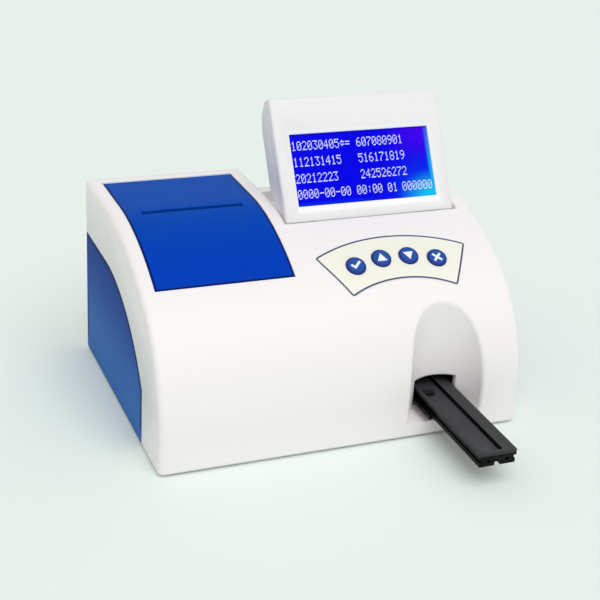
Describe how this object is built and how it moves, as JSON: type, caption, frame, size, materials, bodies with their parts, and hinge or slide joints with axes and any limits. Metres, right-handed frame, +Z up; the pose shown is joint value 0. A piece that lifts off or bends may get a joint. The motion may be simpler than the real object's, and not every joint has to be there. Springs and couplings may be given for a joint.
{
  "type": "urine analyzer",
  "caption": "Benchtop urine strip analyzer: domed case, tilting display, arc of round keys, receipt printer under a hinged cover and a motorised strip tray run out of a scooped port.",
  "frame": {"origin": "middle of the footprint on the bench, at the underside of the feet, with the strip tray run out", "axes": "+Z up, +Y to the back of the case, +X to the right of someone facing the display and keys"},
  "size_m": [0.21, 0.212, 0.1635],
  "materials": {
    "case_white": "fine satin",
    "base_grey": "matt",
    "cover_blue": "satin gloss",
    "panel_blue": "fine matt",
    "display_white": "fine satin",
    "lcd_glass": "clear blue",
    "module_black": "matt",
    "overlay_ivory": "fine texture",
    "key_blue": "satin",
    "board_green": "solder mask",
    "steel": "bright",
    "bay_grey": "matt",
    "paper_white": "paper",
    "card_brown": "card",
    "ceramic_white": "smooth",
    "roller_rubber": "matt",
    "gear_nylon": "moulded",
    "motor_metal": "plated",
    "tray_black": "satin",
    "lens_glass": "polished",
    "brass": "machined"
  },
  "bodies": {
    "case": {"backup_battery": "tray_black", "base_plate": "base_grey", "base_screws": "steel", "board_components": "tray_black", "board_screws": "steel", "board_standoffs": "brass", "buzzer": "tray_black", "cover_hinge_pins": "steel", "display_hinge_pins": "steel", "dome_switches": "steel", "head_board": "board_green", "head_bracket": "steel", "head_lens": "lens_glass", "home_sensor": "tray_black", "keypad_board": "board_green", "keypad_overlay": "overlay_ivory", "keypad_screws": "steel", "light_emitters": "lens_glass", "main_board": "board_green", "optical_head": "tray_black", "paper_bay": "bay_grey", "power_inlet": "tray_black", "printer_frame": "bay_grey", "printer_motor": "motor_metal", "rear_panel": "base_grey", "roll_spindle": "steel", "rubber_feet": "roller_rubber", "serial_port": "motor_metal", "shaft_bearing": "tray_black", "side_panel_left": "panel_blue", "side_panel_right": "panel_blue", "switch_housing": "tray_black", "thermal_head": "ceramic_white", "tray_guide_left": "tray_black", "tray_guide_right": "tray_black", "tray_motor": "motor_metal", "upper_case": "case_white"},
    "tray": {"strip_tray": "tray_black", "strip_clip": "tray_black", "white_reference_pad": "ceramic_white", "tray_rack": "gear_nylon"},
    "tray_drive": {"drive_pinion": "gear_nylon", "drive_shaft": "steel"},
    "display": {"display_bezel": "display_white", "display_back": "display_white", "lcd_window": "lcd_glass", "lcd_module": "module_black", "display_screws": "steel"},
    "cover": {"printer_cover": "cover_blue"},
    "confirm_key": {"key_confirm": "key_blue"},
    "up_key": {"key_up": "key_blue"},
    "down_key": {"key_down": "key_blue"},
    "cancel_key": {"key_cancel": "key_blue"},
    "platen": {"platen_roller": "roller_rubber", "platen_shaft": "steel", "platen_gear": "gear_nylon"},
    "printer_drive": {"printer_motor_gear": "gear_nylon"},
    "roll": {"paper_roll": "paper_white", "roll_core": "card_brown"},
    "rocker": {"power_rocker": "tray_black"}
  },
  "joints": [
    {"name": "tray_slide", "type": "slide", "parent": "case", "child": "tray", "axis": [0, 1, 0], "range_m": [0, 0.072]},
    {"name": "tray_pinion", "type": "hinge", "parent": "case", "child": "tray_drive", "pos_m": [0.06, -0.005, 0.0105], "axis": [1, 0, 0], "range_deg": [-860, 0]},
    {"name": "display_tilt", "type": "hinge", "parent": "case", "child": "display", "pos_m": [0.04135, 0.034, 0.1005], "axis": [-1, 0, 0], "range_deg": [-10, 58]},
    {"name": "cover_hinge", "type": "hinge", "parent": "case", "child": "cover", "pos_m": [-0.0581, 0.098, 0.1061], "axis": [-1, 0, 0], "range_deg": [0, 75]},
    {"name": "confirm_press", "type": "slide", "parent": "case", "child": "confirm_key", "axis": [0, 0.4894, -0.8721], "range_m": [0, 0.0008], "stiffness_N_per_m": 400},
    {"name": "up_press", "type": "slide", "parent": "case", "child": "up_key", "axis": [0, 0.4894, -0.8721], "range_m": [0, 0.0008], "stiffness_N_per_m": 400},
    {"name": "down_press", "type": "slide", "parent": "case", "child": "down_key", "axis": [0, 0.4894, -0.8721], "range_m": [0, 0.0008], "stiffness_N_per_m": 400},
    {"name": "cancel_press", "type": "slide", "parent": "case", "child": "cancel_key", "axis": [0, 0.4894, -0.8721], "range_m": [0, 0.0008], "stiffness_N_per_m": 400},
    {"name": "roll_turn", "type": "hinge", "parent": "case", "child": "roll", "pos_m": [-0.0581, 0.076, 0.0785], "axis": [1, 0, 0], "continuous": true},
    {"name": "platen_turn", "type": "hinge", "parent": "case", "child": "platen", "pos_m": [-0.0581, 0.0465, 0.0965], "axis": [1, 0, 0], "continuous": true},
    {"name": "printer_motor_turn", "type": "hinge", "parent": "case", "child": "printer_drive", "pos_m": [-0.0581, 0.0465, 0.0865], "axis": [1, 0, 0], "continuous": true},
    {"name": "power_switch", "type": "hinge", "parent": "case", "child": "rocker", "pos_m": [0.0665, 0.0983, 0.041], "axis": [1, 0, 0], "range_deg": [-10, 10]}
  ],
  "couplings": [
    {"joint": "tray_pinion", "follows": "tray_slide", "rad_per_m": -208.33},
    {"joint": "platen_turn", "follows": "roll_turn", "ratio": -5},
    {"joint": "printer_motor_turn", "follows": "roll_turn", "ratio": 9.2857}
  ]
}
